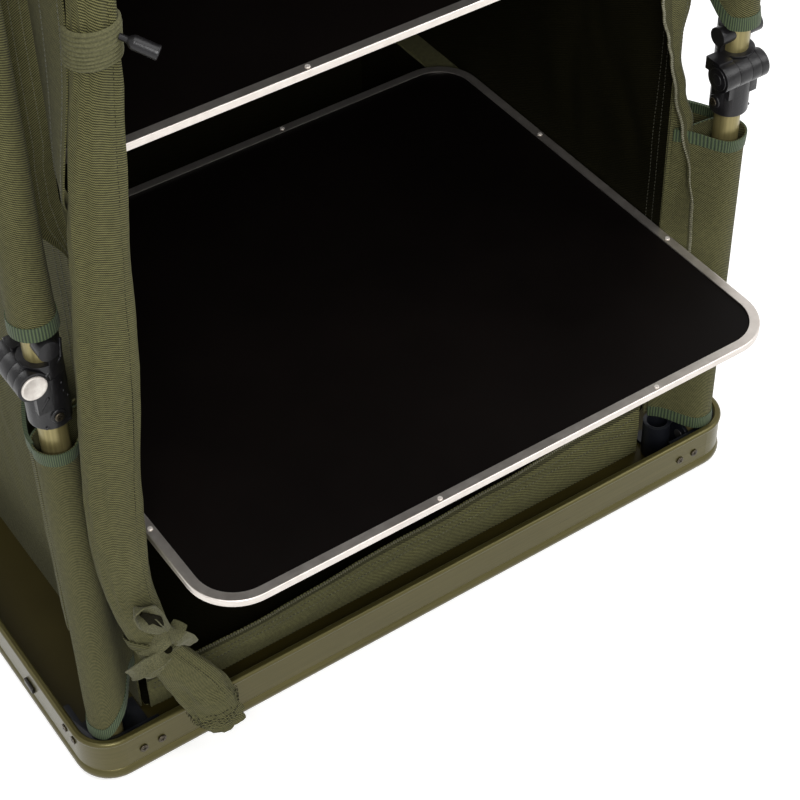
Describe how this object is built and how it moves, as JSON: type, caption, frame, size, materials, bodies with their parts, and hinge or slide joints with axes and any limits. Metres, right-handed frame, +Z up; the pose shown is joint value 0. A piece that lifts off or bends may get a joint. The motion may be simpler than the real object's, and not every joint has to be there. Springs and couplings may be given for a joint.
{
  "type": "camping cupboard",
  "caption": "Folding camping cupboard: two shallow aluminium trays joined by four knee-hinged legs, with a sewn cloth cover, a rolled-up door and two sliding shelves.",
  "frame": {"origin": "middle of the base tray's underside", "axes": "+X right as seen from the open front, +Y towards the back, +Z up"},
  "size_m": [0.612, 0.5982, 0.788],
  "materials": {
    "rim_aluminium": "satin olive anodised",
    "tray_panel": "smooth dark olive laminate on board",
    "black_plastic": "fine-grained moulded",
    "knee_plastic": "fine-grained moulded",
    "steel": "plated",
    "leg_tube": "satin olive",
    "cover_cloth": "twill-woven polyester",
    "zip_tape": "woven tape with coil teeth",
    "shelf_board": "black satin laminate",
    "shelf_aluminium": "satin",
    "rivet_metal": "bright"
  },
  "bodies": {
    "base": {"base_rim": "rim_aluminium", "base_panel": "tray_panel", "base_brackets": "black_plastic", "base_screws": "steel", "base_pins": "steel", "latch_keepers": "black_plastic", "cover_floor": "cover_cloth", "cover_walls": "cover_cloth", "cover_front_lip": "cover_cloth", "cover_front_edges": "cover_cloth", "door_zip": "zip_tape", "shelf_ledges": "cover_cloth", "door_roll": "cover_cloth", "door_ties": "cover_cloth", "toggle": "black_plastic"},
    "lid": {"lid_rim": "rim_aluminium", "lid_panel": "tray_panel", "lid_brackets": "black_plastic", "lid_screws": "steel", "lid_pins": "steel", "cover_head": "cover_cloth", "latch_plates": "black_plastic", "handle_mounts": "black_plastic"},
    "front_left_lower_leg": {"front_left_lower_tube": "leg_tube", "front_left_knee_lower": "knee_plastic", "front_left_knee_fasteners": "steel", "front_left_lower_sleeve": "cover_cloth"},
    "front_left_upper_leg": {"front_left_upper_tube": "leg_tube", "front_left_knee_upper": "knee_plastic", "front_left_upper_sleeve": "cover_cloth"},
    "front_right_lower_leg": {"front_right_lower_tube": "leg_tube", "front_right_knee_lower": "knee_plastic", "front_right_knee_fasteners": "steel", "front_right_lower_sleeve": "cover_cloth"},
    "front_right_upper_leg": {"front_right_upper_tube": "leg_tube", "front_right_knee_upper": "knee_plastic", "front_right_upper_sleeve": "cover_cloth"},
    "back_right_lower_leg": {"back_right_lower_tube": "leg_tube", "back_right_knee_lower": "knee_plastic", "back_right_knee_fasteners": "steel", "back_right_lower_sleeve": "cover_cloth"},
    "back_right_upper_leg": {"back_right_upper_tube": "leg_tube", "back_right_knee_upper": "knee_plastic", "back_right_upper_sleeve": "cover_cloth"},
    "back_left_lower_leg": {"back_left_lower_tube": "leg_tube", "back_left_knee_lower": "knee_plastic", "back_left_knee_fasteners": "steel", "back_left_lower_sleeve": "cover_cloth"},
    "back_left_upper_leg": {"back_left_upper_tube": "leg_tube", "back_left_knee_upper": "knee_plastic", "back_left_upper_sleeve": "cover_cloth"},
    "lower_shelf": {"lower_shelf_frame": "shelf_aluminium", "lower_shelf_board": "shelf_board", "lower_shelf_rivets": "rivet_metal"},
    "upper_shelf": {"upper_shelf_frame": "shelf_aluminium", "upper_shelf_board": "shelf_board", "upper_shelf_rivets": "rivet_metal"},
    "latch_front": {"latch_front": "black_plastic"},
    "latch_back": {"latch_back": "black_plastic"},
    "handle": {"handle": "black_plastic"}
  },
  "joints": [
    {"name": "fold", "type": "hinge", "parent": "base", "child": "front_left_lower_leg", "pos_m": [-0.2738, -0.22835, 0.025], "axis": [0, 1, 0], "range_deg": [0, 5]},
    {"name": "front_left_knee", "type": "hinge", "parent": "front_left_lower_leg", "child": "front_left_upper_leg", "pos_m": [-0.2858, -0.22835, 0.394], "axis": [0, 1, 0], "range_deg": [-10, 0]},
    {"name": "front_right_foot", "type": "hinge", "parent": "base", "child": "front_right_lower_leg", "pos_m": [0.2738, -0.22835, 0.025], "axis": [-1, 0, 0], "range_deg": [0, 5]},
    {"name": "front_right_knee", "type": "hinge", "parent": "front_right_lower_leg", "child": "front_right_upper_leg", "pos_m": [0.2738, -0.24035, 0.394], "axis": [-1, 0, 0], "range_deg": [-10, 0]},
    {"name": "back_right_foot", "type": "hinge", "parent": "base", "child": "back_right_lower_leg", "pos_m": [0.2738, 0.22835, 0.025], "axis": [0, -1, 0], "range_deg": [0, 5]},
    {"name": "back_right_knee", "type": "hinge", "parent": "back_right_lower_leg", "child": "back_right_upper_leg", "pos_m": [0.2858, 0.22835, 0.394], "axis": [0, -1, 0], "range_deg": [-10, 0]},
    {"name": "back_left_foot", "type": "hinge", "parent": "base", "child": "back_left_lower_leg", "pos_m": [-0.2738, 0.22835, 0.025], "axis": [1, 0, 0], "range_deg": [0, 5]},
    {"name": "back_left_knee", "type": "hinge", "parent": "back_left_lower_leg", "child": "back_left_upper_leg", "pos_m": [-0.2738, 0.24035, 0.394], "axis": [1, 0, 0], "range_deg": [-10, 0]},
    {"name": "lid_level", "type": "hinge", "parent": "front_left_upper_leg", "child": "lid", "pos_m": [-0.2738, -0.22835, 0.763], "axis": [0, 1, 0], "range_deg": [0, 5]},
    {"name": "lower_shelf_slide", "type": "slide", "parent": "base", "child": "lower_shelf", "axis": [0, 1, 0], "range_m": [-0.04, 0.1392]},
    {"name": "upper_shelf_slide", "type": "slide", "parent": "base", "child": "upper_shelf", "axis": [0, 1, 0], "range_m": [-0.045, 0]},
    {"name": "latch_front_swing", "type": "hinge", "parent": "lid", "child": "latch_front", "pos_m": [-0.3046, -0.15, 0.768], "axis": [0, 1, 0], "range_deg": [0, 110]},
    {"name": "latch_back_swing", "type": "hinge", "parent": "lid", "child": "latch_back", "pos_m": [-0.3046, 0.15, 0.768], "axis": [0, 1, 0], "range_deg": [0, 110]},
    {"name": "handle_swing", "type": "hinge", "parent": "lid", "child": "handle", "pos_m": [-0.3046, 0, 0.768], "axis": [0, 1, 0], "range_deg": [0, 100]}
  ],
  "couplings": [
    {"joint": "front_left_knee", "follows": "fold", "ratio": -2},
    {"joint": "front_right_foot", "follows": "fold", "ratio": 1},
    {"joint": "front_right_knee", "follows": "fold", "ratio": -2},
    {"joint": "back_right_foot", "follows": "fold", "ratio": 1},
    {"joint": "back_right_knee", "follows": "fold", "ratio": -2},
    {"joint": "back_left_foot", "follows": "fold", "ratio": 1},
    {"joint": "back_left_knee", "follows": "fold", "ratio": -2},
    {"joint": "lid_level", "follows": "fold", "ratio": 1}
  ]
}
